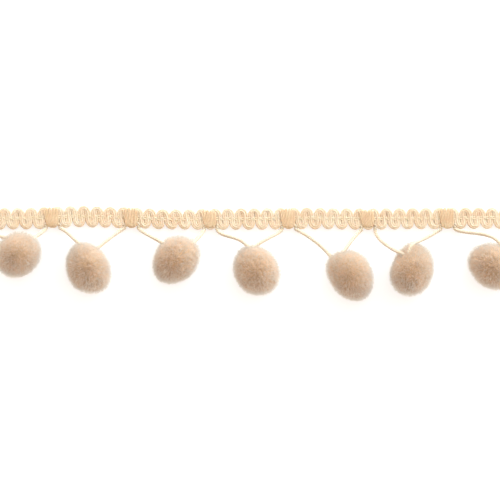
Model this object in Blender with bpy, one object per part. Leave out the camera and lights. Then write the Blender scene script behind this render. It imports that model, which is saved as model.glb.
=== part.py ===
"""Pompom fringe trim: a narrow scalloped gimp heading with seven small pompoms tied under it.

The trim lies face up on a surface at z = 0. It runs along X, the pompoms lie towards -Y, and the
origin is under the middle of the whole piece. Every length is in metres, worked out from the
pompom spacing, the heading's depth and the tables below.

Pieces: the gimp heading, a cord that snakes from edge to edge and is bound along its middle by a
chain of stitches; seven pompoms, each a ball of cut yarn locks; and two tie threads for each
pompom, which leave the heading in the notches beside an anchor loop.
"""

import math
import random

import bmesh
import bpy
from mathutils import Matrix, Vector
from mathutils.bvhtree import BVHTree

MM = 0.001

# Spacing along the trim
POMPOM_PITCH = 21.5 * MM
LOOPS_PER_POMPOM = 6
LOOP_PITCH = POMPOM_PITCH / LOOPS_PER_POMPOM
SPARE_LOOPS = 1.5  # heading left beyond the outermost anchors, at each cut end

# Gimp heading
HEADING_Y = 9.4 * MM  # centre line of the heading, from the origin
HEADING_DEPTH = 5.8 * MM  # over the tips of the loops
CORD_HEIGHT = 1.4 * MM
LEG_HALF_WIDTH = 0.66 * MM  # of the gimp cord, half way up a leg
TIP_HALF_WIDTH = 0.68 * MM  # and where it turns
LEG_UPRIGHTNESS = 0.34 * MM  # how far the wave is pushed sideways, which squares its legs
CHAIN_HALF_DEPTH = 0.6 * MM  # of the chain of stitches along the middle
STITCH_RISE = 0.15 * MM  # each stitch stands this far above the cord it crosses
CHAIN_DIP = 0.25 * MM  # and the chain sinks this far between two legs
ANCHOR_DIP = 0.05 * MM  # the same where the tie threads pack an anchor loop full
LOOP_UNEVENNESS = 0.05 * MM
BEND_TURNS = 0.125  # of a loop from the middle of a bend to where its leg begins
INNER_REACH = 0.8  # of the way to a bend's centre, where the cord's inner side stops
UNEVEN_SEED = 3

# Section of the gimp cord: (share of the half width, share of the height), flat underneath
CORD_SECTION = [(-0.6, 0.0), (0.6, 0.0), (1.0, 0.45), (0.62, 1.0), (-0.62, 1.0), (-1.0, 0.45)]

# How the heading lies: (place along X, how far it strays towards +Y, share of its full depth,
# how far its centre line is pulled towards +X, how much further its lower loops are, and its
# upper ones less far)
HEADING_LIE = [
    (-80.5 * MM, -0.30 * MM, 1.00, 0.70 * MM, 0.30 * MM),
    (-62.0 * MM, 0.00 * MM, 1.00, 0.70 * MM, 0.30 * MM),
    (-46.0 * MM, 0.55 * MM, 0.99, 0.70 * MM, 0.30 * MM),
    (-33.0 * MM, 0.25 * MM, 0.97, 0.62 * MM, 0.22 * MM),
    (-22.0 * MM, -0.20 * MM, 0.94, 0.68 * MM, 0.40 * MM),
    (0.0 * MM, -0.12 * MM, 1.00, 0.24 * MM, 0.20 * MM),
    (15.0 * MM, 0.05 * MM, 1.00, 0.22 * MM, 0.26 * MM),
    (30.0 * MM, -0.10 * MM, 1.00, 0.28 * MM, 0.28 * MM),
    (60.0 * MM, 0.10 * MM, 0.98, 0.28 * MM, 0.28 * MM),
    (80.5 * MM, 0.10 * MM, 1.00, 0.28 * MM, 0.28 * MM),
]

# Pompoms, left to right: (slip to the right of the middle of its two anchors, drop below the
# heading's centre line, long axis, short axis, direction of the long axis from +X in degrees,
# taper towards the end of the long axis that points to the heading, direction in degrees and rise,
# as a share, of the side where the pile was shorn less)
POMPOMS = [
    (2.6 * MM, 9.8 * MM, 13.3 * MM, 12.0 * MM, 45, 0.00, 10, 0.03),
    (-0.1 * MM, 13.2 * MM, 14.3 * MM, 12.1 * MM, 113, 0.10, 312, 0.10),
    (2.0 * MM, 11.4 * MM, 14.0 * MM, 12.1 * MM, 51, -0.10, 35, 0.09),
    (2.3 * MM, 13.9 * MM, 14.2 * MM, 12.5 * MM, 120, 0.07, 320, 0.05),
    (6.5 * MM, 15.5 * MM, 14.6 * MM, 12.0 * MM, 119, -0.07, 149, 0.12),
    (1.5 * MM, 14.0 * MM, 14.5 * MM, 11.7 * MM, 66, 0.08, 108, 0.15),
    (1.9 * MM, 13.1 * MM, 14.0 * MM, 12.1 * MM, 138, -0.05, 158, 0.10),
]
POMPOM_SQUAT = 0.97  # height of a pompom as a share of its short axis
FULL_REACH = 0.9  # radians from the middle of a pompom's fuller side to where it ends
POMPOM_SINK = 0.93  # height of its middle as a share of its half height, so that it rests on a flat
PILE_SEED = 40

# The cord's run, in loops from the middle of the trim, and its legs, two for each loop
FIRST_TURN = -(len(POMPOMS) * LOOPS_PER_POMPOM / 2 + SPARE_LOOPS)
LEGS = int(-4 * FIRST_TURN)

# Locks of cut yarn, set in five-sided caps and three rows of ten
CAP_LOCKS = 5
LOCK_ROWS = 3
CAP_ANGLE = math.radians(41.4)  # a cap's edge, from the pole, for cells of one size
LOCK_ROOT = 0.6  # distance of the locks' roots from the middle, as a share of the radius
LOCK_SHOULDER = 0.96  # the same for the corners of a lock's tip
LOCK_SPREAD = 0.89  # width of a tip as a share of its cell, the rest being the parting
LOCK_UNEVENNESS = 0.035

THREAD_WIDTH = 0.85 * MM
THREAD_STEPS = 9
ROUTE_STEPS = 120  # the fine steps in which a thread's two seats are found
AIM_DEPTH = 0.85  # how far out from a pompom's middle its threads aim, as a share of the radius
SEAT_GAP = 0.3 * MM  # between a thread's end and the piece it is tied to

# Tie threads: (pompom, side, the way it leaves the heading in degrees from +X, how hard it holds
# that way, place where it meets the pompom in degrees round its middle and in degrees above it,
# the way it arrives there in degrees, how hard it holds that way)
TIE_THREADS = [
    (1, "left", -26, 2.4 * MM, 122, 5, -14, 2.0 * MM),
    (1, "right", -128, 0.8 * MM, 46, 0, -129, 0.8 * MM),
    (2, "left", -22, 2.2 * MM, 103, 5, -38, 1.8 * MM),
    (2, "right", -152, 2.6 * MM, 58, 0, -135, 1.8 * MM),
    (3, "left", -48, 2.0 * MM, 125, 5, -34, 2.6 * MM),
    (3, "right", -100, 0.8 * MM, 44, 10, -135, 0.8 * MM),
    (4, "left", -58, 3.2 * MM, 104, 5, -56, 5.0 * MM),
    (4, "right", -122, 1.6 * MM, 93, 0, -132, 3.0 * MM),
    (5, "left", -26, 4.4 * MM, 141, 0, -58, 3.2 * MM),
    (5, "right", -144, 2.4 * MM, 112, 5, -122, 2.0 * MM),
    (6, "left", -86, 3.2 * MM, 127, 25, -22, 2.6 * MM),
    (6, "right", -145, 7.0 * MM, 109, 30, -100, 3.2 * MM),
    (7, "left", -35, 3.6 * MM, 62, 15, -80, 6.0 * MM),
    (7, "right", -135, 2.4 * MM, 54, 0, -142, 2.0 * MM),
]


def blend_rows(rows, place):
    """The values of a table whose first column is a place along X, eased from row to row."""
    if place <= rows[0][0]:
        return rows[0][1:]
    for near, far in zip(rows, rows[1:]):
        if place <= far[0]:
            share = (place - near[0]) / (far[0] - near[0])
            eased = share * share * (3 - 2 * share)
            return tuple(a + (b - a) * eased for a, b in zip(near[1:], far[1:]))
    return rows[-1][1:]


def material(name, colour, roughness):
    """A matt yarn finish."""
    made = bpy.data.materials.new(name)
    made.use_nodes = True
    shader = made.node_tree.nodes["Principled BSDF"]
    shader.inputs["Base Color"].default_value = (*colour, 1)
    shader.inputs["Roughness"].default_value = roughness
    shader.inputs["Metallic"].default_value = 0
    return made


def add_solid(name, mesh_data, finish, smooth_under):
    """Turns a bmesh into a named object whose faces point outwards."""
    bmesh.ops.recalc_face_normals(mesh_data, faces=mesh_data.faces)
    mesh = bpy.data.meshes.new(name)
    mesh_data.to_mesh(mesh)
    mesh_data.free()
    mesh.materials.append(finish)
    mesh.shade_smooth()
    mesh.set_sharp_from_angle(angle=smooth_under)
    solid = bpy.data.objects.new(name, mesh)
    bpy.context.scene.collection.objects.link(solid)
    return solid


# ---- gimp heading ----


def cord_centre(turn):
    """Middle of the gimp cord in plan. Whole turns are lower loops, and half turns upper ones."""
    along = LOOP_PITCH * turn + LEG_UPRIGHTNESS * math.sin(4 * math.pi * turn)
    stray, depth, pull, slant = blend_rows(HEADING_LIE, along)
    swing = depth * HEADING_DEPTH / 2 - TIP_HALF_WIDTH
    down = math.cos(2 * math.pi * turn)
    return Vector((along + pull + slant * down, HEADING_Y + stray - swing * down))


def cord_ring(turn, shift, raised):
    """Six points round the gimp cord. On the inside of a bend they stop short of the bend's centre."""
    before, here, after = (cord_centre(turn + step) for step in (-0.01, 0, 0.01))
    ahead = (after - before).normalized()
    right = Vector((ahead.y, -ahead.x))
    bend = (after - 2 * here + before).dot(right) / ((after - before).length / 2) ** 2
    evenness = abs(math.cos(2 * math.pi * turn))
    half_width = LEG_HALF_WIDTH + (TIP_HALF_WIDTH - LEG_HALF_WIDTH) * evenness
    height = CORD_HEIGHT + (STITCH_RISE if raised else 0)
    ring = []
    for across, up in CORD_SECTION:
        reach = across * half_width
        if reach * bend > 0:
            limit = INNER_REACH * abs(across) / abs(bend)
            reach = math.copysign(min(abs(reach), limit), reach)
        flat = here + right * reach + shift
        ring.append(Vector((flat.x, flat.y, up * height)))
    return ring


def heading_turns():
    """Turn values of the cord's rings, with the ones that edge the chain of stitches marked."""
    chain_edge = math.asin(CHAIN_HALF_DEPTH / (HEADING_DEPTH / 2 - TIP_HALF_WIDTH)) / (2 * math.pi)
    bend = [share * BEND_TURNS for share in (-1, -0.5, 0, 0.5, 1)]
    turns = [(FIRST_TURN + place, False) for place in bend[2:]]
    for leg in range(LEGS):
        middle = FIRST_TURN + 0.25 + leg / 2
        turns += [(middle - chain_edge, True), (middle + chain_edge, True)]
        turns += [(middle + 0.25 + place, False) for place in bend]
    return turns[:-2]


def round_the_edge(rings, columns):
    """The points round a patch of the cord's side, given its rings and three of their columns."""
    up_one_side = [ring[columns[2]] for ring in rings[1:-1]]
    down_the_other = [ring[columns[0]] for ring in reversed(rings[1:-1])]
    ends = [rings[0][c] for c in columns], [rings[-1][c] for c in reversed(columns)]
    return ends[0] + up_one_side + ends[1] + down_the_other


def bridge_legs(mesh_data, near, far, side, dip):
    """Joins the facing sides of two neighbouring legs, side being +1 on the cord's right.

    near and far are runs of rings, in the cord's order, and the middle of the bridge is dip lower.
    """
    columns = (1, 2, 3) if side > 0 else (0, 5, 4)
    edges = []
    for rings in (near, far[::-1]):
        for here, after in zip(rings, rings[1:]):
            for a, b in zip(columns, columns[1:]):
                corners = {here[a], here[b], after[a], after[b]}
                mesh_data.faces.remove(next(f for f in here[a].link_faces if set(f.verts) == corners))
        edges.append(round_the_edge(rings, columns))
    waist = []
    for a, b in zip(*edges):
        middle = (a.co + b.co) / 2
        half_height = CORD_HEIGHT / 2
        middle.z = half_height + (middle.z - half_height) * (1 - dip / half_height)
        waist.append(mesh_data.verts.new(middle))
    for one, other in ((edges[0], waist), (waist, edges[1])):
        for k in range(len(waist)):
            after = (k + 1) % len(waist)
            mesh_data.faces.new((one[k], one[after], other[after], other[k]))


def build_heading(finish):
    """The snaking cord as one tube, its legs joined half way up by the chain of stitches."""
    uneven = random.Random(UNEVEN_SEED)
    mesh_data = bmesh.new()
    rings = []
    shift = Vector((0, 0))
    for turn, on_chain in heading_turns():
        if not on_chain and abs(turn * 2 - round(turn * 2)) < 1e-6:
            shift = Vector([uneven.uniform(-1, 1) * LOOP_UNEVENNESS for _ in range(2)])
        points = cord_ring(turn, shift * abs(math.cos(2 * math.pi * turn)), on_chain)
        rings.append(([mesh_data.verts.new(p) for p in points], on_chain))
    for (here, _), (after, _) in zip(rings, rings[1:]):
        for k in range(len(CORD_SECTION)):
            following = (k + 1) % len(CORD_SECTION)
            mesh_data.faces.new((here[k], here[following], after[following], after[k]))
    mesh_data.faces.new(rings[0][0])
    mesh_data.faces.new(rings[-1][0])
    starts = [k for k in range(len(rings) - 1) if rings[k][1] and rings[k + 1][1]]
    legs = [[ring for ring, _ in rings[k - 1 : k + 3]] for k in starts]
    for k, (near, far) in enumerate(zip(legs, legs[1:])):
        # The cord starts at an upper loop, so its first leg runs down and its left side faces on.
        side = -1 if k % 2 == 0 else 1
        loop = FIRST_TURN + (k + 1) / 2
        if loop % LOOPS_PER_POMPOM == LOOPS_PER_POMPOM / 2:
            bridge_legs(mesh_data, near, far, side, ANCHOR_DIP)
        else:
            bridge_legs(mesh_data, near[1:3], far[1:3], side, CHAIN_DIP)
    return add_solid("gimp_heading", mesh_data, finish, math.radians(50))


# ---- pompoms ----


def unit_vector(around, above):
    level = math.cos(above)
    return Vector((math.cos(around) * level, math.sin(around) * level, math.sin(above)))


def pile_cells():
    """Unit vectors on a sphere, and its cells: two caps of kites with rows of squares between."""
    around = 2 * CAP_LOCKS
    points = [Vector((0, 0, 1))]
    for ring in range(LOCK_ROWS + 1):
        polar = CAP_ANGLE + (math.pi - 2 * CAP_ANGLE) * ring / LOCK_ROWS
        for k in range(around):
            turn = 2 * math.pi * k / around
            points.append(unit_vector(turn, math.pi / 2 - polar))
    points.append(Vector((0, 0, -1)))

    def at(ring, k):
        return 1 + ring * around + k % around

    cells = []
    for k in range(0, around, 2):
        cells.append((0, at(0, k), at(0, k + 1), at(0, k + 2)))
        bottom = at(LOCK_ROWS, k + 3), at(LOCK_ROWS, k + 2), at(LOCK_ROWS, k + 1)
        cells.append((len(points) - 1, *bottom))
    for ring in range(LOCK_ROWS):
        for k in range(around):
            cells.append((at(ring, k), at(ring + 1, k), at(ring + 1, k + 1), at(ring, k + 1)))
    return points, cells


def pompom_middle(number):
    """Middle of a pompom, counted from 1, at its resting height."""
    slip, drop, _, short = POMPOMS[number - 1][:4]
    place = (number - (len(POMPOMS) + 1) / 2) * POMPOM_PITCH
    return Vector((place + slip, HEADING_Y - drop, short / 2 * POMPOM_SQUAT * POMPOM_SINK))


def on_pompom(number, direction, share):
    """The point a share of the way out from a pompom's middle, along a unit vector in its own axes."""
    _, _, long, short, lean, taper, full_way, full_rise = POMPOMS[number - 1]
    narrowing = 1 - taper * direction.x
    full_at = math.radians(full_way - lean)
    away = direction.angle(Vector((math.cos(full_at), math.sin(full_at), 0))) / FULL_REACH
    share *= 1 + full_rise * max(0, 1 - away * away) ** 2
    local = Vector(
        (
            direction.x * long / 2,
            direction.y * short / 2 * narrowing,
            direction.z * short / 2 * POMPOM_SQUAT * narrowing,
        )
    )
    return pompom_middle(number) + Matrix.Rotation(math.radians(lean), 3, "Z") @ (local * share)


def rested(root, tip):
    """A lock's tip, shortened along the lock where it would go below the surface."""
    if tip.z >= 0:
        return tip
    level = root + (tip - root) * (root.z / (root.z - tip.z))
    level.z = 0
    return level


def build_pompom(number, finish):
    """A ball of four-sided locks that part above their common root."""
    uneven = random.Random(PILE_SEED + number)
    turned = Matrix.Rotation(uneven.uniform(0, math.tau), 3, "Z")
    turned @= Matrix.Rotation(uneven.uniform(0.4, 2.6), 3, "X")
    turned @= Matrix.Rotation(uneven.uniform(0, math.tau), 3, "Z")
    points, cells = pile_cells()
    points = [turned @ p for p in points]
    mesh_data = bmesh.new()
    roots = [mesh_data.verts.new(on_pompom(number, p, LOCK_ROOT)) for p in points]
    for cell in cells:
        axis = sum((points[c] for c in cell), Vector()).normalized()
        length = 1 + uneven.uniform(-1, 1) * LOCK_UNEVENNESS
        shoulder = []
        for c in cell:
            outward = (axis + (points[c] - axis) * LOCK_SPREAD).normalized()
            corner = on_pompom(number, outward, LOCK_SHOULDER * length)
            shoulder.append(mesh_data.verts.new(rested(roots[c].co, corner)))
        crown = rested(on_pompom(number, axis, LOCK_ROOT), on_pompom(number, axis, length))
        tip = mesh_data.verts.new(crown)
        for k, c in enumerate(cell):
            following = (k + 1) % len(cell)
            after = roots[cell[following]]
            mesh_data.faces.new((roots[c], after, shoulder[following], shoulder[k]))
            mesh_data.faces.new((shoulder[k], shoulder[following], tip))
    return add_solid(f"pompom_{number}", mesh_data, finish, math.radians(35))


# ---- tie threads ----


def flat_way(degrees, pull):
    turn = math.radians(degrees)
    return Vector((math.cos(turn), math.sin(turn), 0)) * pull


def thread_route(row):
    """Points along a thread's bow, a cubic curve from a notch of the heading to its pompom."""
    number, side, leaves, leave_pull, round_at, above, arrives, arrive_pull = row
    to_side = -1 if side == "left" else 1
    anchor = (number - (len(POMPOMS) + 1) / 2 + to_side / 2) * POMPOM_PITCH
    notch = anchor - to_side * LOOP_PITCH / 2
    stray, depth, pull, slant = blend_rows(HEADING_LIE, notch)
    lower_edge = HEADING_Y + stray - depth * HEADING_DEPTH / 2
    start = Vector((notch + pull + slant, lower_edge, CORD_HEIGHT / 2))
    around = math.radians(round_at - POMPOMS[number - 1][4])
    end = on_pompom(number, unit_vector(around, math.radians(above)), AIM_DEPTH)
    leaving = start + flat_way(leaves, leave_pull) + Vector((0, 0, leave_pull / 4))
    arriving = end - flat_way(arrives, arrive_pull)
    route = []
    for k in range(ROUTE_STEPS + 1):
        t = k / ROUTE_STEPS
        weights = ((1 - t) ** 3, 3 * t * (1 - t) ** 2, 3 * t * t * (1 - t), t**3)
        places = (start, leaving, arriving, end)
        route.append(sum((p * w for p, w in zip(places, weights)), Vector()))
    return route


def clear_of(point, tree):
    """Whether a thread centred here has room to the piece whose surface the tree holds."""
    return tree.find_nearest(point)[3] >= THREAD_WIDTH / 2 + SEAT_GAP


def seated(route, heading_tree, pompom_tree):
    """The part of a route between its two seats, on the heading and on the pompom."""
    near_heading = [k for k, p in enumerate(route) if not clear_of(p, heading_tree)]
    clear = route[max(near_heading, default=-1) + 1 :]
    near_pompom = [k for k, p in enumerate(clear) if not clear_of(p, pompom_tree)]
    return clear[: min(near_pompom)]


def build_thread(row, heading_tree, pompom_tree, finish):
    """A four-sided strand with square ends."""
    run = seated(thread_route(row), heading_tree, pompom_tree)
    places = [run[round(k * (len(run) - 1) / THREAD_STEPS)] for k in range(THREAD_STEPS + 1)]
    mesh_data = bmesh.new()
    rings = []
    for k, place in enumerate(places):
        ahead = places[min(k + 1, THREAD_STEPS)] - places[max(k - 1, 0)]
        side = ahead.cross(Vector((0, 0, 1))).normalized()
        up = side.cross(ahead).normalized()
        half = THREAD_WIDTH / 2
        corners = (side * half, up * half, -side * half, -up * half)
        rings.append([mesh_data.verts.new(place + c) for c in corners])
    for here, after in zip(rings, rings[1:]):
        for k in range(4):
            following = (k + 1) % 4
            mesh_data.faces.new((here[k], here[following], after[following], after[k]))
    mesh_data.faces.new(rings[0])
    mesh_data.faces.new(rings[-1])
    return add_solid(f"tie_thread_{row[0]}_{row[1]}", mesh_data, finish, math.radians(20))


def surface_tree(solid):
    vertices = [v.co for v in solid.data.vertices]
    return BVHTree.FromPolygons(vertices, [tuple(p.vertices) for p in solid.data.polygons])


def main():
    for leftover in list(bpy.data.objects):
        bpy.data.objects.remove(leftover)
    gimp = material("cream_gimp", (0.90, 0.70, 0.46), 0.6)
    pile = material("beige_pile", (0.55, 0.38, 0.26), 0.9)
    thread = material("cream_thread", (0.88, 0.74, 0.54), 0.7)
    heading_tree = surface_tree(build_heading(gimp))
    pompom_trees = [surface_tree(build_pompom(k + 1, pile)) for k in range(len(POMPOMS))]
    for row in TIE_THREADS:
        build_thread(row, heading_tree, pompom_trees[row[0] - 1], thread)


main()
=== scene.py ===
# Pompom fringe trim, dressed: the gimp cord and its chain, the anchor wraps, the tie threads and the pile.
# Lengths are in metres and axes are the frame's: the trim lies on z = 0, runs along X, heading at +Y.

import bpy
import numpy as np
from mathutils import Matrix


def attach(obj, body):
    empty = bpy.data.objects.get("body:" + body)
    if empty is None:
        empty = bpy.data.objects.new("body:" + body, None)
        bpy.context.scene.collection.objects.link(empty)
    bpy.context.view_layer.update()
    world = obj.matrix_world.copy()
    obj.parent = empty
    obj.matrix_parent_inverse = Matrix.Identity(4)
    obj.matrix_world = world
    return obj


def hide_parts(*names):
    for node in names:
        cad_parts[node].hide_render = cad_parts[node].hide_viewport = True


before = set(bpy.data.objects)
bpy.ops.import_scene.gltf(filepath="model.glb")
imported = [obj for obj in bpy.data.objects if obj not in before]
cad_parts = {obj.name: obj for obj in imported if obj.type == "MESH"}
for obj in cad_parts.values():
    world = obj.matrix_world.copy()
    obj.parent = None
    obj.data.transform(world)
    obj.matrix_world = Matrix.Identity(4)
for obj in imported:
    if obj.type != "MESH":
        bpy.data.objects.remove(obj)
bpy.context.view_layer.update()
mm = 0.001
print("frame:", len(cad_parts), "nodes")

# The sizes that the pieces share. lie: place along X, stray towards +Y, share of the full depth, pull
# of the loops towards +X, and slant, by which the lower loops stand further along and the upper less.
trim = {
    "pompomPitch": 21.5 * mm,
    "loopsPerPompom": 6,
    "loopsEachWay": 22.5,
    "headingY": 9.4 * mm,
    "headingDepth": 5.8 * mm,
    "uprightness": 0.34 * mm,
    "tipHalfWidth": 0.68 * mm,
    "lie": [
        (-80.5 * mm, -0.30 * mm, 1.00, 0.70 * mm, 0.30 * mm),
        (-62.0 * mm, 0.00 * mm, 1.00, 0.70 * mm, 0.30 * mm),
        (-46.0 * mm, 0.55 * mm, 0.99, 0.70 * mm, 0.30 * mm),
        (-33.0 * mm, 0.25 * mm, 0.97, 0.62 * mm, 0.22 * mm),
        (-22.0 * mm, -0.20 * mm, 0.94, 0.68 * mm, 0.40 * mm),
        (0.0 * mm, -0.12 * mm, 1.00, 0.24 * mm, 0.20 * mm),
        (15.0 * mm, 0.05 * mm, 1.00, 0.22 * mm, 0.26 * mm),
        (30.0 * mm, -0.10 * mm, 1.00, 0.28 * mm, 0.28 * mm),
        (60.0 * mm, 0.10 * mm, 0.98, 0.28 * mm, 0.28 * mm),
        (80.5 * mm, 0.10 * mm, 1.00, 0.28 * mm, 0.28 * mm),
    ],
}
loopPitch = trim["pompomPitch"] / trim["loopsPerPompom"]


def easedColumns(rows, place):
    # Between two rows a value runs as a + (b - a) * s * s * (3 - 2 s), s being the share of the way.
    table = np.array(rows)
    place = np.clip(place, table[0, 0], table[-1, 0])
    row = np.clip(np.searchsorted(table[:, 0], place) - 1, 0, len(table) - 2)
    share = (place - table[row, 0]) / (table[row + 1, 0] - table[row, 0])
    share = (share * share * (3 - 2 * share))[..., None]
    return table[row, 1:] + (table[row + 1, 1:] - table[row, 1:]) * share


def unit(vectors):
    return vectors / np.linalg.norm(vectors, axis=-1, keepdims=True)


def putMesh(name, points, faces, material, uvs=None, values=None, smooth=True):
    # faces is a list of index arrays with one row for each face, uvs a matching row for each corner.
    mesh = bpy.data.meshes.new(name)
    corners = np.concatenate([part.ravel() for part in faces]).astype(np.int32)
    sizes = np.concatenate([np.full(len(part), part.shape[1]) for part in faces])
    starts = np.concatenate([[0], np.cumsum(sizes)[:-1]]).astype(np.int32)
    mesh.vertices.add(len(points))
    mesh.vertices.foreach_set("co", points.astype(np.float32).ravel())
    mesh.loops.add(len(corners))
    mesh.loops.foreach_set("vertex_index", corners)
    mesh.polygons.add(len(starts))
    mesh.polygons.foreach_set("loop_start", starts)
    if uvs is not None:
        layer = mesh.uv_layers.new(name="runAndRound")
        layer.data.foreach_set("uv", uvs.astype(np.float32).ravel())
    for label, numbers in (values or {}).items():
        attribute = mesh.attributes.new(label, "FLOAT", "POINT")
        attribute.data.foreach_set("value", numbers.astype(np.float32).ravel())
    mesh.update(calc_edges=True)
    mesh.polygons.foreach_set("use_smooth", np.broadcast_to(smooth, len(starts)))
    mesh.materials.append(material)
    piece = bpy.data.objects.new(name, mesh)
    bpy.context.scene.collection.objects.link(piece)
    triangles = int((sizes - 2).sum())
    print("piece:", name, triangles, "triangles")
    return piece


def stepAhead(runs, closed):
    if closed:
        return np.roll(runs, -1, axis=-2) - np.roll(runs, 1, axis=-2)
    return np.gradient(runs, axis=-2)


def tubes(runs, halfWide, halfHigh, sides, closed=False):
    # Round each point: point + level side * wide * cos(a) + up * high * sin(a), a going once round.
    count, steps = runs.shape[:2]
    ahead = unit(stepAhead(runs, closed))
    level = unit(np.cross(ahead, [0.0, 0.0, 1.0]))
    upward = np.cross(level, ahead)
    turn = 2 * np.pi * np.arange(sides) / sides
    wide = np.broadcast_to(halfWide, (count, steps))[..., None, None]
    high = np.broadcast_to(halfHigh, (count, steps))[..., None, None]
    rings = runs[:, :, None] + level[:, :, None] * wide * np.cos(turn)[:, None]
    rings = rings + upward[:, :, None] * high * np.sin(turn)[:, None]
    spans = steps if closed else steps - 1
    run, step, side = np.meshgrid(np.arange(count), np.arange(spans), np.arange(sides), indexing="ij")
    after, beside = (step + 1) % steps, (side + 1) % sides

    def corner(atStep, atSide):
        return (run * steps + atStep) * sides + atSide

    square = [corner(step, side), corner(after, side), corner(after, beside), corner(step, beside)]
    walls = np.stack(square, axis=-1)
    lengths = np.linalg.norm(np.diff(runs, axis=1, append=runs[:, :1]), axis=-1)
    travelled = np.concatenate([np.zeros((count, 1)), np.cumsum(lengths, axis=1)], axis=1)
    here, there = travelled[run, step], travelled[run, step + 1]
    u = np.stack([here, there, there, here], axis=-1)
    v = np.stack([side, side, side + 1, side + 1], axis=-1) / sides
    faces = [walls.reshape(-1, 4)]
    uvs = [np.stack([u, v], axis=-1).reshape(-1, 2)]
    if not closed:
        first = (np.arange(count) * steps * sides)[:, None]
        last = first + (steps - 1) * sides
        faces.append(np.concatenate([first + np.arange(sides), last + np.arange(sides)[::-1]]))
        uvs.append(np.zeros((2 * count * sides, 2)))
    return rings.reshape(-1, 3), faces, np.concatenate(uvs)


def wedges(points, ends, halfWide):
    # From a point, straight to three corners round its end, 120 degrees apart.
    ahead = unit(ends - points)
    aside = np.where(np.abs(ahead[:, 2:]) < 0.9, [[0.0, 0.0, 1.0]], [[1.0, 0.0, 0.0]])
    level = unit(np.cross(ahead, aside))
    upward = np.cross(level, ahead)
    turn = 2 * np.pi * np.arange(3)[None, :, None] / 3
    rim = level[:, None] * np.cos(turn) + upward[:, None] * np.sin(turn)
    corners = np.concatenate([ends[:, None] + halfWide[:, None, None] * rim, points[:, None]], axis=1)
    pattern = np.array([[0, 1, 3], [1, 2, 3], [2, 0, 3], [0, 2, 1]])
    faces = pattern[None] + 4 * np.arange(len(points))[:, None, None]
    return corners.reshape(-1, 3), faces.reshape(-1, 3)


def evenDirections(count):
    # A spiral down the ball: equal steps of height, and the golden angle round at each step.
    step = np.arange(count) + 0.5
    height = 1 - 2 * step / count
    around = np.pi * (1 + 5**0.5) * step
    level = np.sqrt(1 - height**2)
    return np.stack([level * np.cos(around), level * np.sin(around), height], axis=-1)


# Shader node groups that several materials share.
def newGroup(name, inputs, outputs):
    group = bpy.data.node_groups.new(name, "ShaderNodeTree")
    for label, kind, value in inputs:
        group.interface.new_socket(name=label, in_out="INPUT", socket_type=kind).default_value = value
    for label, kind in outputs:
        group.interface.new_socket(name=label, in_out="OUTPUT", socket_type=kind)
    return group, group.nodes.new("NodeGroupInput").outputs, group.nodes.new("NodeGroupOutput").inputs


def mathNode(group, operation, *values):
    node = group.nodes.new("ShaderNodeMath")
    node.operation = operation
    for socket, value in zip(node.inputs, values):
        if isinstance(value, (int, float)):
            socket.default_value = value
        else:
            group.links.new(value, socket)
    return node.outputs[0]


def mixColours(group, share, first, second):
    node = group.nodes.new("ShaderNodeMix")
    node.data_type = "RGBA"
    for place, value in (("Factor", share), (6, first), (7, second)):
        group.links.new(value, node.inputs[place])
    return node.outputs[2]


# The patches of dye, where the noise runs from 0 to 1.
dyePatches = {"detail": 3, "darkBelow": 0.32, "lightAbove": 0.68}


def makeYarnTone():
    # Soft patches of a darker and a lighter dye, from noise in the piece's own coordinates.
    group, into, out = newGroup(
        "yarnTone",
        [
            ("Dark", "NodeSocketColor", (0.5, 0.5, 0.5, 1)),
            ("Light", "NodeSocketColor", (0.8, 0.8, 0.8, 1)),
            ("Patches", "NodeSocketFloat", 300.0),
        ],
        [("Color", "NodeSocketColor")],
    )
    place = group.nodes.new("ShaderNodeTexCoord").outputs["Object"]
    noise = group.nodes.new("ShaderNodeTexNoise")
    noise.inputs["Detail"].default_value = dyePatches["detail"]
    group.links.new(place, noise.inputs["Vector"])
    group.links.new(into["Patches"], noise.inputs["Scale"])
    spread = group.nodes.new("ShaderNodeMapRange")
    spread.inputs["From Min"].default_value = dyePatches["darkBelow"]
    spread.inputs["From Max"].default_value = dyePatches["lightAbove"]
    group.links.new(noise.outputs["Fac"], spread.inputs["Value"])
    dyed = mixColours(group, spread.outputs["Result"], into["Dark"], into["Light"])
    group.links.new(dyed, out["Color"])
    return group


def makePlyTwist():
    # Grooves between the plies: the distance from a line that climbs round the yarn as it runs along.
    group, into, out = newGroup(
        "plyTwist",
        [
            ("Plies", "NodeSocketFloat", 2.0),
            ("Twists", "NodeSocketFloat", 700.0),
            ("Depth", "NodeSocketFloat", 0.00004),
        ],
        [("Crown", "NodeSocketFloat"), ("Normal", "NodeSocketVector")],
    )
    place = group.nodes.new("ShaderNodeSeparateXYZ")
    group.links.new(group.nodes.new("ShaderNodeUVMap").outputs["UV"], place.inputs[0])
    climb = mathNode(group, "MULTIPLY", place.outputs["X"], into["Twists"])
    turned = mathNode(group, "MULTIPLY", place.outputs["Y"], into["Plies"])
    phase = mathNode(group, "FRACT", mathNode(group, "ADD", climb, turned))
    crown = mathNode(group, "SINE", mathNode(group, "MULTIPLY", phase, np.pi))
    bump = group.nodes.new("ShaderNodeBump")
    group.links.new(crown, bump.inputs["Height"])
    group.links.new(into["Depth"], bump.inputs["Distance"])
    group.links.new(crown, out["Crown"])
    group.links.new(bump.outputs["Normal"], out["Normal"])
    return group


# The ends of packed fibres: the range of the noise and the shades that it stands for.
endShades = {"detail": 2, "low": 0.36, "high": 0.64, "lowShade": 0.72, "highShade": 1.26}


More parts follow.
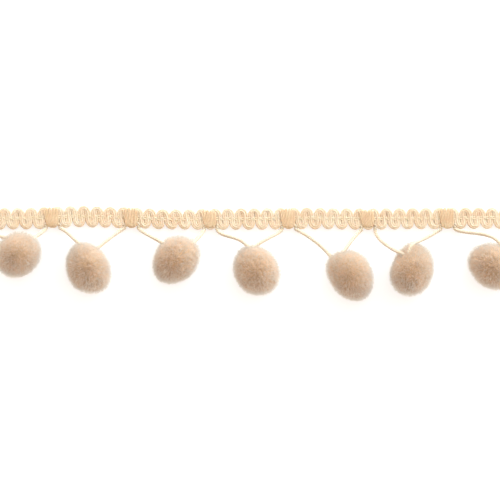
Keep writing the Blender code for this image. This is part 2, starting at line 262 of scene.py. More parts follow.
def makeFibreEnds():
    # Fine noise, lifted where it is high, and darker where it is low: besides random mottling, this is
    # painted shade in the low spots of its relief.
    group, into, out = newGroup(
        "fibreEnds",
        [("Fineness", "NodeSocketFloat", 5200.0), ("Depth", "NodeSocketFloat", 0.00009)],
        [("Shade", "NodeSocketFloat"), ("Normal", "NodeSocketVector")],
    )
    noise = group.nodes.new("ShaderNodeTexNoise")
    noise.inputs["Detail"].default_value = endShades["detail"]
    group.links.new(group.nodes.new("ShaderNodeTexCoord").outputs["Object"], noise.inputs["Vector"])
    group.links.new(into["Fineness"], noise.inputs["Scale"])
    shade = group.nodes.new("ShaderNodeMapRange")
    shade.inputs["From Min"].default_value = endShades["low"]
    shade.inputs["From Max"].default_value = endShades["high"]
    shade.inputs["To Min"].default_value = endShades["lowShade"]
    shade.inputs["To Max"].default_value = endShades["highShade"]
    group.links.new(noise.outputs["Fac"], shade.inputs["Value"])
    bump = group.nodes.new("ShaderNodeBump")
    group.links.new(noise.outputs["Fac"], bump.inputs["Height"])
    group.links.new(into["Depth"], bump.inputs["Distance"])
    group.links.new(shade.outputs["Result"], out["Shade"])
    group.links.new(bump.outputs["Normal"], out["Normal"])
    return group


yarnTone = makeYarnTone()
plyTwist = makePlyTwist()
fibreEnds = makeFibreEnds()


def shadeOf(colour, share):
    return tuple(min(1.0, part * share) for part in colour)


# What all the fibres share, and the finish of a spun yarn and of cut pile. through: share of the
# light that enters the fibres and comes out again, within throughReach or so.
anyFibre = {"shine": 0.25, "sheenRoughness": 0.6, "throughByColour": (1.0, 0.75, 0.55)}
spunYarn = {
    "roughness": 0.6,
    "sheen": 0.3,
    "sheenTint": (1.0, 0.93, 0.82),
    "through": 0.4,
    "throughReach": 0.15 * mm,
    "plies": 2.0,
    "plyDepth": 0.04 * mm,
    "paintedGrooveShade": 0.92,  # share of its colour that a yarn keeps in the groove between two plies: painted shade
}
cutPile = {
    "roughness": 0.85,
    "sheen": 0.5,
    "sheenTint": (1.0, 0.92, 0.84),
    "through": 0.8,
    "throughReach": 0.25 * mm,
    "climbPower": 0.55,  # the colour, with its painted depth shade, climbs from root to tip as the way up to this power
    "packedPatches": 420.0,
    "packedSpread": 1.22,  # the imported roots' lighter dye over their darker one
    "tipPatches": 350.0,
    "tipSpread": 0.84,  # the tips' darker dye over their lighter one
}


def newMaterial(name, finish):
    material = bpy.data.materials.new(name)
    material.use_nodes = True
    shader = material.node_tree.nodes["Principled BSDF"]
    shader.inputs["Roughness"].default_value = finish["roughness"]
    shader.inputs["Specular IOR Level"].default_value = anyFibre["shine"]
    shader.inputs["Sheen Weight"].default_value = finish["sheen"]
    shader.inputs["Sheen Roughness"].default_value = anyFibre["sheenRoughness"]
    shader.inputs["Sheen Tint"].default_value = (*finish["sheenTint"], 1)
    shader.inputs["Subsurface Weight"].default_value = finish["through"]
    shader.inputs["Subsurface Radius"].default_value = anyFibre["throughByColour"]
    shader.inputs["Subsurface Scale"].default_value = finish["throughReach"]
    return material, material.node_tree, shader


def placeGroup(tree, group, **settings):
    node = tree.nodes.new("ShaderNodeGroup")
    node.node_tree = group
    for label, value in settings.items():
        node.inputs[label].default_value = value
    return node


def yarnMaterial(name, dark, light, patches, twists):
    # Dyed yarn: patchy tone, with painted shade that makes it a little darker in the grooves between its
    # plies.
    material, tree, shader = newMaterial(name, spunYarn)
    dye = placeGroup(tree, yarnTone, Dark=(*dark, 1), Light=(*light, 1), Patches=patches)
    twist = placeGroup(tree, plyTwist, Plies=spunYarn["plies"], Twists=twists, Depth=spunYarn["plyDepth"])
    # Painted shade: the yarn's colour is scaled down where the ply relief is lowest, between two plies.
    groove = tree.nodes.new("ShaderNodeMapRange")
    groove.inputs["To Min"].default_value = spunYarn["paintedGrooveShade"]
    tree.links.new(twist.outputs["Crown"], groove.inputs["Value"])
    shade = tree.nodes.new("ShaderNodeVectorMath")
    shade.operation = "SCALE"
    tree.links.new(dye.outputs["Color"], shade.inputs[0])
    tree.links.new(groove.outputs["Result"], shade.inputs["Scale"])
    tree.links.new(shade.outputs["Vector"], shader.inputs["Base Color"])
    tree.links.new(twist.outputs["Normal"], shader.inputs["Normal"])
    return material


def fibreMaterial(name, root, tip):
    # Cut fibres: the fibres' attribute runs from 0 at a fibre's root to 1 at its tip, less at the tip of a
    # fibre that ends deeper, and mixes the root's darker colour into the tip's paler one: partly the
    # yarn's tone, partly painted shade of the pile's depth. The imported body, all of it at 0, takes the
    # root's colour and so that painted shade, speckled with the ends of fibres that don't stand out.
    material, tree, shader = newMaterial(name, cutPile)
    tipToneAndDepthShade = tree.nodes.new("ShaderNodeAttribute")
    tipToneAndDepthShade.attribute_name = "tipToneAndDepthShade"
    climb = mathNode(tree, "POWER", tipToneAndDepthShade.outputs["Fac"], cutPile["climbPower"])
    # Random mottling, with painted shade in the low spots of the fine relief, scales the roots' colour.
    speckleAndHollowShade = placeGroup(tree, fibreEnds)
    rootToneAndShade = {"Dark": (*root, 1), "Light": (*shadeOf(root, cutPile["packedSpread"]), 1)}
    packed = placeGroup(tree, yarnTone, **rootToneAndShade, Patches=cutPile["packedPatches"])
    sunk = tree.nodes.new("ShaderNodeVectorMath")
    sunk.operation = "SCALE"
    tree.links.new(packed.outputs["Color"], sunk.inputs[0])
    tree.links.new(speckleAndHollowShade.outputs["Shade"], sunk.inputs["Scale"])
    tipDyes = {"Dark": (*shadeOf(tip, cutPile["tipSpread"]), 1), "Light": (*tip, 1)}
    tips = placeGroup(tree, yarnTone, **tipDyes, Patches=cutPile["tipPatches"])
    dyed = mixColours(tree, climb, sunk.outputs["Vector"], tips.outputs["Color"])
    tree.links.new(dyed, shader.inputs["Base Color"])
    tree.links.new(speckleAndHollowShade.outputs["Normal"], shader.inputs["Normal"])
    return material


print("materials: groups made")

# The gimp cord is a bundle of soft yarns laid side by side in two rows. Each row of strands:
# offset across the cord, height of its middle, half width, half height.
cord = {
    "stepsPerLoop": 44,
    "sides": 6,
    "strands": [
        (-0.50 * mm, 0.96 * mm, 0.360 * mm, 0.31 * mm),
        (0.00 * mm, 1.04 * mm, 0.360 * mm, 0.31 * mm),
        (0.50 * mm, 0.96 * mm, 0.360 * mm, 0.31 * mm),
        (-0.52 * mm, 0.36 * mm, 0.330 * mm, 0.34 * mm),
        (0.00 * mm, 0.36 * mm, 0.330 * mm, 0.34 * mm),
        (0.52 * mm, 0.36 * mm, 0.330 * mm, 0.34 * mm),
    ],
    "spread": 0.17,  # half way across the heading the strands lie this share further apart
    "turnSqueeze": 0.24,  # where the cord turns they draw together by this share
    "turnShift": 0.02 * mm,  # and move this far to the outside
    "chainSqueeze": 0.10 * mm,  # the chain presses the rows this far towards each other
    "betweenRows": 0.65 * mm,  # height between the two rows
    "turnPower": 3,  # how suddenly a turn begins: its share is the bend's size to this power
    "legPower": 0.7,  # a leg's share is 1 - the bend's size to this power
    "unevenness": 0.035 * mm,
    "seed": 11,
}


def cordCentre(turn):
    # Along: pitch * turn, pushed by sin(4 pi turn), + pull + slant * cos(2 pi turn).
    # Across: the centre line - swing * cos(2 pi turn).
    along = loopPitch * turn + trim["uprightness"] * np.sin(4 * np.pi * turn)
    stray, depth, pull, slant = np.moveaxis(easedColumns(trim["lie"], along), -1, 0)
    swing = depth * trim["headingDepth"] / 2 - trim["tipHalfWidth"]
    down = np.cos(2 * np.pi * turn)
    across = trim["headingY"] + stray - swing * down
    return np.stack([along + pull + slant * down, across, np.zeros_like(along)], axis=-1)


def makeCord(material):
    # Each strand follows the cord's centre, moved across it by its own offset.
    rng = np.random.default_rng(cord["seed"])
    reach = trim["loopsEachWay"]
    turn = np.linspace(-reach, reach, int(2 * reach * cord["stepsPerLoop"]) + 1)
    centre = cordCentre(turn)
    level = unit(np.cross(unit(np.gradient(centre, axis=0)), [0.0, 0.0, 1.0]))
    bend = np.cos(2 * np.pi * turn)  # 1 at a lower loop, -1 at an upper one
    turning = np.abs(bend) ** cord["turnPower"]
    binding = 1 - np.abs(bend) ** cord["legPower"]
    runs, wides, highs = [], [], []
    for offset, height, wide, high in cord["strands"]:
        wobbles = rng.normal(size=(2, int(2 * reach) * 2 + 3)) * cord["unevenness"]
        places = np.linspace(-reach, reach, wobbles.shape[1])
        sway, lift = (np.interp(turn, places, wobble) for wobble in wobbles)
        across = offset * (1 + cord["spread"] * binding - cord["turnSqueeze"] * turning)
        across = across + cord["turnShift"] * turning * np.sign(bend)
        pressed = np.sign(cord["betweenRows"] - height) * cord["chainSqueeze"] * binding
        run = centre + level * (across + sway)[:, None]
        run[:, 2] = height + pressed + np.abs(lift)
        runs.append(run)
        wides.append(np.full(turn.size, wide))
        highs.append(np.full(turn.size, high))
    points, faces, uvs = tubes(np.stack(runs), np.stack(wides), np.stack(highs), cord["sides"])
    return putMesh("gimpCord", points, faces, material, uvs)


gimpYarn = yarnMaterial("gimpYarn", (0.82, 0.63, 0.44), (0.89, 0.745, 0.565), 260.0, 900.0)
gimpCord = makeCord(gimpYarn)
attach(gimpCord, "root")
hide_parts("gimp_heading")

# A chain of stitches binds the legs. Each stitch is a closed loop that starts between two legs.
chain = {
    "fromStart": 0.25,  # loops of the cord before the first stitch
    "fromEnd": 0.6,  # and loops after which none starts
    "overlap": 1.38,  # length of a stitch as a share of the space between two legs
    "narrowEnd": 0.55,  # share of its width that a stitch has where it starts
    "backNarrower": 0.8,  # share of the front's width that a back stitch has
    "halfWidth": 0.36 * mm,
    "halfWide": 0.25 * mm,
    "halfHigh": 0.13 * mm,
    "startHeight": 1.06 * mm,
    "endHeight": 1.12 * mm,
    "backHeight": 0.20 * mm,
    "steps": 18,
    "sides": 5,
}


def makeChain(material):
    # Round a stitch: along - cos(a), across sin(a) and widening to its far end, height rising with it.
    reach = trim["loopsEachWay"]
    first = np.arange(-reach + chain["fromStart"], reach - chain["fromEnd"], 0.5)[:, None] * loopPitch
    angle = 2 * np.pi * np.arange(chain["steps"])[None, :] / chain["steps"]
    gone = (1 - np.cos(angle)) / 2
    along = first + gone * loopPitch / 2 * chain["overlap"]
    across = chain["halfWidth"] * np.sin(angle)
    across = across * (chain["narrowEnd"] + (1 - chain["narrowEnd"]) * gone)
    stray, _, pull, _ = np.moveaxis(easedColumns(trim["lie"], along), -1, 0)
    level = trim["headingY"] + stray
    rise = chain["startHeight"] + (chain["endHeight"] - chain["startHeight"]) * np.sqrt(gone)
    front = np.stack([along + pull, level + across, np.broadcast_to(rise, along.shape)], axis=-1)
    under = np.full(along.shape, chain["backHeight"])
    back = np.stack([along + pull, level - across * chain["backNarrower"], under], axis=-1)
    stitches = np.concatenate([front, back])
    points, faces, uvs = tubes(stitches, chain["halfWide"], chain["halfHigh"], chain["sides"], closed=True)
    return putMesh("chainStitch", points, faces, material, uvs)


chainYarn = yarnMaterial("chainYarn", (0.83, 0.645, 0.43), (0.89, 0.74, 0.535), 400.0, 1500.0)
chainStitch = makeChain(chainYarn)
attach(chainStitch, "root")
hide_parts("gimp_heading")

# Where a pair of tie threads is anchored, a finer yarn is wound up and down over one loop.
anchor = {
    "passes": 9,
    "width": 3.6 * mm,
    "flare": 0.14,  # the top is this share wider and the foot this share narrower
    "top": 2.50 * mm,
    "bottom": -2.45 * mm,
    "height": 1.34 * mm,
    "crown": 0.12 * mm,  # the middle stands this far above the sides
    "turnDip": 0.12 * mm,  # and the yarn dips this far where it turns back
    "squareness": 0.12,  # share of the third harmonic, which squares the winding's turns
    "sway": 0.05 * mm,  # of each pass to either side
    "roundedSides": 0.16,  # the outer passes are this share shorter
    "unevenness": 0.05,
    "halfWide": 0.235 * mm,
    "halfHigh": 0.16 * mm,
    "sides": 6,
    "stepsPerPass": 16,
    "seed": 23,
}


def makeAnchors(material):
    # Across the anchor at an even rate, up and down as a cosine squared off by its third harmonic.
    rng = np.random.default_rng(anchor["seed"])
    count = len(pompomRows) + 1
    places = (np.arange(count) - (count - 1) / 2) * trim["pompomPitch"]
    share = np.linspace(0, 1, anchor["passes"] * anchor["stepsPerPass"] + 1)[None, :]
    turned = np.pi * anchor["passes"] * share
    wave = (1 + anchor["squareness"]) * np.cos(turned) - anchor["squareness"] * np.cos(3 * turned)
    across = (share - 0.5) * anchor["width"] * (1 + anchor["flare"] * wave)
    along = places[:, None] + across + anchor["sway"] * np.sin(2 * turned)
    narrowed = 1 - anchor["roundedSides"] * (2 * share - 1) ** 2
    middle = (anchor["top"] + anchor["bottom"]) / 2
    half = (anchor["top"] - anchor["bottom"]) / 2
    uneven = 1 + anchor["unevenness"] * rng.normal(size=(count, 1))
    stray, _, pull, slant = np.moveaxis(easedColumns(trim["lie"], along), -1, 0)
    level = trim["headingY"] + stray + middle + half * wave * narrowed * uneven
    height = anchor["height"] + anchor["crown"] * (1 - (2 * share - 1) ** 2)
    height = height - anchor["turnDip"] * np.abs(wave) ** 6
    runs = np.stack([along + pull - slant * wave, level, np.broadcast_to(height, along.shape)], axis=-1)
    points, faces, uvs = tubes(runs, anchor["halfWide"], anchor["halfHigh"], anchor["sides"])
    return putMesh("anchorWraps", points, faces, material, uvs)


# Pompoms, left to right: slip to the right of the middle of its anchors, drop below the heading's
# centre line, long axis, short axis, direction of the long axis in degrees, taper towards its end,
# direction in degrees and rise, as a share, of the side where the pile was shorn less.
pompomRows = [
    (2.6 * mm, 9.8 * mm, 13.3 * mm, 12.0 * mm, 45, 0.00, 10, 0.03),
    (-0.1 * mm, 13.2 * mm, 14.3 * mm, 12.1 * mm, 113, 0.10, 312, 0.10),
    (2.0 * mm, 11.4 * mm, 14.0 * mm, 12.1 * mm, 51, -0.10, 35, 0.09),
    (2.3 * mm, 13.9 * mm, 14.2 * mm, 12.5 * mm, 120, 0.07, 320, 0.05),
    (6.5 * mm, 15.5 * mm, 14.6 * mm, 12.0 * mm, 119, -0.07, 149, 0.12),
    (1.5 * mm, 14.0 * mm, 14.5 * mm, 11.7 * mm, 66, 0.08, 108, 0.15),
    (1.9 * mm, 13.1 * mm, 14.0 * mm, 12.1 * mm, 138, -0.05, 158, 0.10),
]
ball = {
    "squat": 0.97,  # height as a share of the short axis
    "sink": 0.93,  # height of the middle as a share of half the height
    "fullReach": 0.9,  # radians from the middle of the fuller side to where it ends
}


def anchorPlace(number, toSide):
    return (number - (len(pompomRows) + 1) / 2 + toSide / 2) * trim["pompomPitch"]


def ballMiddle(number):
    slip, drop, _, short = pompomRows[number - 1][:4]
    height = short / 2 * ball["squat"] * ball["sink"]
    return np.array([anchorPlace(number, 0) + slip, trim["headingY"] - drop, height])


def onBall(number, directions, share):
    # An egg: half axes along, across and up, the last two narrowed as 1 - taper * the way along.
    # The fuller side stands out by 1 + rise * (1 - (angle from its middle / its reach) squared) squared.
    _, _, long, short, lean, taper, fullWay, fullRise = pompomRows[number - 1]
    narrowing = 1 - taper * directions[..., 0]
    fullAt = np.radians(fullWay - lean)
    toFull = directions @ np.array([np.cos(fullAt), np.sin(fullAt), 0.0])
    away = np.arccos(np.clip(toFull, -1, 1)) / ball["fullReach"]
    share = np.asarray(share) * (1 + fullRise * np.clip(1 - away * away, 0, 1) ** 2)
    local = directions * [long / 2, short / 2, short / 2 * ball["squat"]]
    local = local * np.stack([np.ones_like(narrowing), narrowing, narrowing], axis=-1)
    local = local * share[..., None]
    turn = np.radians(lean)
    x = local[..., 0] * np.cos(turn) - local[..., 1] * np.sin(turn)
    y = local[..., 0] * np.sin(turn) + local[..., 1] * np.cos(turn)
    return np.stack([x, y, local[..., 2]], axis=-1) + ballMiddle(number)


anchorYarn = yarnMaterial("anchorYarn", (0.76, 0.535, 0.33), (0.855, 0.67, 0.45), 300.0, 1200.0)
anchorWraps = makeAnchors(anchorYarn)
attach(anchorWraps, "root")
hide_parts("gimp_heading")

# Tie threads: pompom, side, the way it leaves the heading in degrees, how hard it holds that way,
# where it meets the pompom in degrees round and above, the way it arrives, how hard it holds that.
tieRows = [
    (1, "left", -26, 2.4 * mm, 122, 5, -14, 2.0 * mm),
    (1, "right", -128, 0.8 * mm, 46, 0, -129, 0.8 * mm),
    (2, "left", -22, 2.2 * mm, 103, 5, -38, 1.8 * mm),
    (2, "right", -152, 2.6 * mm, 58, 0, -135, 1.8 * mm),
    (3, "left", -48, 2.0 * mm, 125, 5, -34, 2.6 * mm),
    (3, "right", -100, 0.8 * mm, 44, 10, -135, 0.8 * mm),
    (4, "left", -58, 3.2 * mm, 104, 5, -56, 5.0 * mm),
    (4, "right", -122, 1.6 * mm, 93, 0, -132, 3.0 * mm),
    (5, "left", -26, 4.4 * mm, 141, 0, -58, 3.2 * mm),
    (5, "right", -144, 2.4 * mm, 112, 5, -122, 2.0 * mm),
    (6, "left", -86, 3.2 * mm, 127, 25, -22, 2.6 * mm),
    (6, "right", -145, 7.0 * mm, 109, 30, -100, 3.2 * mm),
    (7, "left", -35, 3.6 * mm, 62, 15, -80, 6.0 * mm),
    (7, "right", -135, 2.4 * mm, 54, 0, -142, 2.0 * mm),
]
tie = {
    "aimDepth": 0.85,  # how far out from a pompom's middle a thread aims, as a share of the egg
    "startHeight": 0.7 * mm,
    "plyRadius": 0.34 * mm,
    "plyOffset": 0.21 * mm,
    "twistLength": 1.5 * mm,
    "sides": 6,
    "step": 0.13 * mm,
    "curveSteps": 200,
    "smoothOver": 5,  # steps, an odd number
    "climb": 0.25,  # share of its hold that a thread rises as it leaves the heading
    "tail": 1.5 * mm,  # length of yarn that runs on inside the heading
    "tailWay": (0.15, 1.0, 0.1),  # towards the middle of its pompom, across and up
    "intoPile": 1.2 * mm,  # and length that runs on inside the pile
}


def tieRoute(row):
    # A cubic curve from the notch to the pompom, led by a straight tail that comes down the notch.
    number, side, leaves, leavePull, roundAt, above, arrives, arrivePull = row
    toSide = -1 if side == "left" else 1
    notch = anchorPlace(number, toSide) - toSide * loopPitch / 2
    stray, depth, pull, slant = easedColumns(trim["lie"], np.array(notch))
    lowerEdge = trim["headingY"] + stray - depth * trim["headingDepth"] / 2
    start = np.array([notch + pull + slant, lowerEdge, tie["startHeight"]])
    around, rise = np.radians(roundAt - pompomRows[number - 1][4]), np.radians(above)
    inward = np.array([np.cos(around) * np.cos(rise), np.sin(around) * np.cos(rise), np.sin(rise)])
    end = onBall(number, inward, tie["aimDepth"])
    leaving, arriving = np.radians(leaves), np.radians(arrives)
    outward = np.array([np.cos(leaving), np.sin(leaving), tie["climb"]]) * leavePull
    inbound = np.array([np.cos(arriving), np.sin(arriving), 0.0]) * arrivePull
    t = np.linspace(0, 1, tie["curveSteps"])[:, None]
    held = [start, start + outward, end - inbound, end]
    weights = [(1 - t) ** 3, 3 * t * (1 - t) ** 2, 3 * t * t * (1 - t), t**3]
    bow = sum(w * p for w, p in zip(weights, held))
    tail = start + np.array([-toSide, 1, 1]) * tie["tailWay"] * tie["tail"]
    beyond = end + unit(inbound) * tie["intoPile"]
    whole = np.concatenate([[tail, (tail + start) / 2], bow, [beyond]])
    lengths = np.concatenate([[0], np.cumsum(np.linalg.norm(np.diff(whole, axis=0), axis=1))])
    even = np.linspace(0, lengths[-1], int(lengths[-1] / tie["step"]))
    route = np.stack([np.interp(even, lengths, whole[:, k]) for k in range(3)], axis=-1)
    kernel = np.ones(tie["smoothOver"]) / tie["smoothOver"]
    padded = np.pad(route, ((tie["smoothOver"] // 2,) * 2, (0, 0)), "edge")
    smooth = np.stack([np.convolve(column, kernel, "valid") for column in padded.T], axis=-1)
    return smooth, even


def makeTie(row, material):
    # Two plies wind round the route: route + offset * (side * cos(a) + up * sin(a)), half a turn apart.
    route, travelled = tieRoute(row)
    ahead = unit(np.gradient(route, axis=0))
    level = unit(np.cross(ahead, [0.0, 0.0, 1.0]))
    upward = np.cross(level, ahead)
    angle = 2 * np.pi * travelled / tie["twistLength"] + row[0]
    plies = []
    for half in (0, np.pi):
        aside = level * np.cos(angle + half)[:, None] + upward * np.sin(angle + half)[:, None]
        plies.append(route + aside * tie["plyOffset"])
    points, faces, uvs = tubes(np.stack(plies), tie["plyRadius"], tie["plyRadius"], tie["sides"])
    return putMesh(f"tieThread{row[0]}{row[1].capitalize()}", points, faces, material, uvs)


tieYarn = yarnMaterial("tieYarn", (0.73, 0.62, 0.47), (0.84, 0.74, 0.59), 500.0, 1600.0)
for row in tieRows:
    thread = makeTie(row, tieYarn)
    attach(thread, "root")
    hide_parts(f"tie_thread_{row[0]}_{row[1]}")

# The pile of a pompom: a dense lumpy body of packed yarn, and the cut fibres that stand out of it.
# Shares are of the egg that the pompom fills.
pile = {
    "tufts": 300,
    "bodyShare": 0.88,
    "tuftRise": 0.03,
    "pits": 9,
    "pitReach": 0.07,  # radians round the middle of a pit
    "pitDepth": 0.05,
    "pitsUpwards": 0.5,  # how strongly the pits are drawn to the upper side
    "pitClearing": 1.6,  # the fibres over a pit are shorter by this many times its depth
    "rows": 48,
    "around": 96,
    "fibres": 20000,
    "rootShare": 0.80,
    "shortest": 0.90,  # of the fibres' lengths, and the next line the longest
    "reach": 1.10,
    "gather": 0.20,  # how far a fibre's tip leans to the middle of its tuft
    "lean": 0.045,  # how far its tip goes astray
    "tuftUnevenness": 0.012,
    "tuftScatter": 0.06,
    "fibreScatter": 0.012,
    "halfWide": 0.036 * mm,
    "narrowest": 0.75,  # widths run from this share to as much above the whole
    "wisps": 0.12,  # share of the fibres that are finer and stand out further
    "wispReach": 1.13,
    "wispWidth": 0.65,
    "bodyClear": 0.05 * mm,  # of the surface below
    "fibresClear": 0.03 * mm,
    "seed": 50,
}


def pileShape(number):
    # The tufts' middles and the pits, as directions from the pompom's own middle.
    rng = np.random.default_rng(pile["seed"] + number)
    tufts = evenDirections(pile["tufts"]) + rng.normal(size=(pile["tufts"], 3)) * pile["tuftScatter"]
    pits = rng.normal(size=(pile["pits"], 3)) + [0.0, 0.0, pile["pitsUpwards"]]
    return rng, unit(tufts), unit(pits)


def pitAt(directions, pits):
    # 1 in the middle of a pit, falling as a parabola to 0 at its reach.
    away = np.arccos(np.clip(np.max(directions @ pits.T, axis=1), -1, 1)) / pile["pitReach"]
    return np.clip(1 - away * away, 0, 1)


def makeBody(number, tufts, pits):
    # A grid of height and turn, closed by a fan at each pole. Each tuft is a low round hump:
    # the body's share + the rise * (1 - (distance from its middle / its half width) squared).
    rows, around = pile["rows"], pile["around"]
    above = np.pi * (np.arange(1, rows) / rows - 0.5)[:, None]
    turn = 2 * np.pi * np.arange(around)[None, :] / around
    x, y = np.cos(above) * np.cos(turn), np.cos(above) * np.sin(turn)
    directions = np.stack([x, y, np.broadcast_to(np.sin(above), x.shape)], axis=-1).reshape(-1, 3)
    directions = np.concatenate([directions, [[0, 0, -1], [0, 0, 1]]])
    halfWidth = 2 / np.sqrt(pile["tufts"])
    away = np.arccos(np.clip(np.max(directions @ tufts.T, axis=1), -1, 1)) / halfWidth
    hump = np.clip(1 - away * away, 0, 1)
    share = pile["bodyShare"] + pile["tuftRise"] * hump - pile["pitDepth"] * pitAt(directions, pits)
    points = onBall(number, directions, share)
    points[:, 2] = np.maximum(points[:, 2], pile["bodyClear"])
    row, k = np.meshgrid(np.arange(rows - 2), np.arange(around), indexing="ij")
    low, beside = row * around, (k + 1) % around
    walls = np.stack([low + k, low + beside, low + around + beside, low + around + k], axis=-1)
    k, beside, top = np.arange(around), (np.arange(around) + 1) % around, (rows - 2) * around
    south, north = np.full(around, len(points) - 2), np.full(around, len(points) - 1)
    fans = [np.stack([beside, k, south], axis=-1), np.stack([top + k, top + beside, north], axis=-1)]
    return points, [walls.reshape(-1, 4), np.concatenate(fans)]


def rested(roots, tips):
    # A fibre that would reach the surface is shortened along itself until its tip is just clear of it.
    low = pile["fibresClear"]
    share = np.where(tips[:, 2] < low, (roots[:, 2] - low) / (roots[:, 2] - tips[:, 2]), 1.0)
    return roots + (tips - roots) * share[:, None]


def makePile(number, material):
    # Root: on the egg at the root share. Tip: at the fibre's length, in a direction that is drawn
    # towards its tuft's middle and a little astray.
    rng, tufts, pits = pileShape(number)
    count = pile["fibres"]
    directions = unit(evenDirections(count) + rng.normal(size=(count, 3)) * pile["fibreScatter"])
    tuft = np.argmax(directions @ tufts.T, axis=1)
    astray = rng.normal(size=directions.shape) * pile["lean"]
    tipWays = unit(directions * (1 - pile["gather"]) + tufts[tuft] * pile["gather"] + astray)
    tuftLength = pile["reach"] + rng.normal(size=pile["tufts"]) * pile["tuftUnevenness"]
    lengths = tuftLength[tuft] - rng.random(count) * (pile["reach"] - pile["shortest"])
    wisp = rng.random(count) < pile["wisps"]
    wispLengths = 1 + rng.random(count) * (pile["wispReach"] - 1)
    cleared = pile["pitDepth"] * pile["pitClearing"] * pitAt(directions, pits)
    lengths = np.where(wisp, wispLengths, lengths) - cleared
    roots = onBall(number, directions, np.full(count, pile["rootShare"]))
    tips = rested(roots, onBall(number, tipWays, lengths))
    widths = pile["narrowest"] + 2 * (1 - pile["narrowest"]) * rng.random(count)
    wide = pile["halfWide"] * widths * np.where(wisp, pile["wispWidth"], 1.0)
    points, wedgeFaces = wedges(tips, roots, wide)
    bodyPoints, bodyFaces = makeBody(number, tufts, pits)
    faces = [wedgeFaces] + [part + len(points) for part in bodyFaces]
    # Painted shade: a fibre that ends deeper in the pile gets a darker tip, and the body stays at the
    # root's colour.
    reached = np.clip((lengths - pile["rootShare"]) / (1 - pile["rootShare"]), 0, 1)
    tipToneAndDepthShade = np.concatenate([(reached[:, None] * [0.0, 0.0, 0.0, 1.0]).ravel(), np.zeros(len(bodyPoints))])
    smooth = np.arange(sum(len(part) for part in faces)) >= len(wedgeFaces)
    points = np.concatenate([points, bodyPoints])
    return putMesh(f"pompomPile{number}", points, faces, material, values={"tipToneAndDepthShade": tipToneAndDepthShade}, smooth=smooth)


# The darker root colour is partly the yarn's tone and partly painted shade of the pile's depth.
pompomPile = fibreMaterial("pompomPile", root=(0.54, 0.34, 0.20), tip=(0.76, 0.745, 0.68))
for number in range(1, len(pompomRows) + 1):
    tuftedBall = makePile(number, pompomPile)
    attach(tuftedBall, "root")
    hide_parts(f"pompom_{number}")

# Floor, light and camera.
studio = {
    "floorHalf": 3.0,
    "floorColour": (0.60, 0.60, 0.60),
    "floorRoughness": 0.9,
    "floorShine": 0.1,
    "floorGlow": 0.58,
    "brightWay": (0.485, 0.875, 0.0),
    "brightSide": 5.2,
    "brightColour": (0.90, 1.0, 1.06),
    "dimSide": 0.6,
    "dimColour": (1.03, 0.77, 0.56),
    "overhead": 0.16,  # share of its brightness at the horizon that the tent keeps overhead
    "keyPower": 3.0,
    "keySize": 0.9,
    "keyPlace": (0.62, 1.17, 0.60),
    "lens": 200.0,
    "sensor": 36.0,
    "pixel": 0.2715 * mm,  # of the trim, in a frame as many pixels across as the next line says
    "pixelsAcross": 500,
    "frameMiddle": (0.7 * mm, 0.85 * mm),
    "clip": (0.01, 50),
}


def makeFloor():
    half = studio["floorHalf"]
    mesh = bpy.data.meshes.new("floor")
    corners = [(-half, -half, 0), (half, -half, 0), (half, half, 0), (-half, half, 0)]
    mesh.from_pydata(corners, [], [(0, 1, 2, 3)])
    material = bpy.data.materials.new("paleFloor")
    material.use_nodes = True
    shader = material.node_tree.nodes["Principled BSDF"]
    shader.inputs["Base Color"].default_value = (*studio["floorColour"], 1)
    shader.inputs["Roughness"].default_value = studio["floorRoughness"]
    shader.inputs["Specular IOR Level"].default_value = studio["floorShine"]
    shader.inputs["Emission Color"].default_value = (1, 1, 1, 1)
    shader.inputs["Emission Strength"].default_value = studio["floorGlow"]
    mesh.materials.append(material)
    floor = bpy.data.objects.new("floor", mesh)
    bpy.context.scene.collection.objects.link(floor)
    return floor


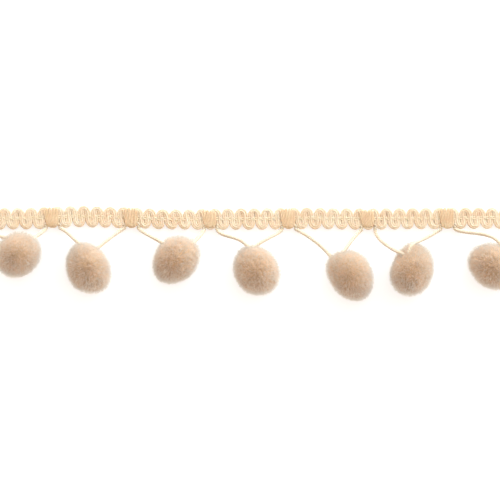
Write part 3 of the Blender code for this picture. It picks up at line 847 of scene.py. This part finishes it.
def makeSky():
    # A white tent beside a window: brightness and colour run from the dim side's to the bright side's
    # with the way, and the brightness falls to its overhead share with the way's height.
    world = bpy.data.worlds.new("whiteTent")
    world.use_nodes = True
    tree = world.node_tree
    way = tree.nodes.new("ShaderNodeTexCoord").outputs["Generated"]
    towards = tree.nodes.new("ShaderNodeVectorMath")
    towards.operation = "DOT_PRODUCT"
    towards.inputs[1].default_value = studio["brightWay"]
    tree.links.new(way, towards.inputs[0])
    share = mathNode(tree, "MULTIPLY_ADD", towards.outputs["Value"], 0.5, 0.5)
    side = tree.nodes.new("ShaderNodeMapRange")
    side.inputs["To Min"].default_value = studio["dimSide"]
    side.inputs["To Max"].default_value = studio["brightSide"]
    tree.links.new(share, side.inputs["Value"])
    tint = tree.nodes.new("ShaderNodeMix")
    tint.data_type = "RGBA"
    tint.inputs[6].default_value = (*studio["dimColour"], 1)
    tint.inputs[7].default_value = (*studio["brightColour"], 1)
    tree.links.new(share, tint.inputs["Factor"])
    place = tree.nodes.new("ShaderNodeSeparateXYZ")
    tree.links.new(way, place.inputs[0])
    fade = tree.nodes.new("ShaderNodeMapRange")
    fade.inputs["To Min"].default_value = 1
    fade.inputs["To Max"].default_value = studio["overhead"]
    tree.links.new(place.outputs["Z"], fade.inputs["Value"])
    strength = mathNode(tree, "MULTIPLY", fade.outputs["Result"], side.outputs["Result"])
    tree.links.new(tint.outputs[2], tree.nodes["Background"].inputs["Color"])
    tree.links.new(strength, tree.nodes["Background"].inputs["Strength"])
    bpy.context.scene.world = world


def aimed(thing, place, target):
    thing.location = place
    way = np.array(target) - np.array(place)
    level = np.hypot(way[0], way[1])
    thing.rotation_euler = (np.arctan2(level, -way[2]), 0, np.arctan2(way[1], way[0]) - np.pi / 2)


def makeKey():
    light = bpy.data.lights.new("softKey", "AREA")
    light.energy = studio["keyPower"]
    light.size = studio["keySize"]
    key = bpy.data.objects.new("softKey", light)
    bpy.context.scene.collection.objects.link(key)
    aimed(key, studio["keyPlace"], (0, 0, 0))


def makeCamera():
    data = bpy.data.cameras.new("camera")
    data.lens, data.sensor_width = studio["lens"], studio["sensor"]
    camera = bpy.data.objects.new("camera", data)
    bpy.context.scene.collection.objects.link(camera)
    across = studio["pixel"] * studio["pixelsAcross"]
    away = across * studio["lens"] / studio["sensor"]
    camera.location = (*studio["frameMiddle"], away)
    data.clip_start, data.clip_end = studio["clip"]
    bpy.context.scene.camera = camera


floor = makeFloor()
makeSky()
makeKey()
makeCamera()
bpy.context.scene.view_settings.view_transform = "Standard"
print("studio: floor, light and camera")
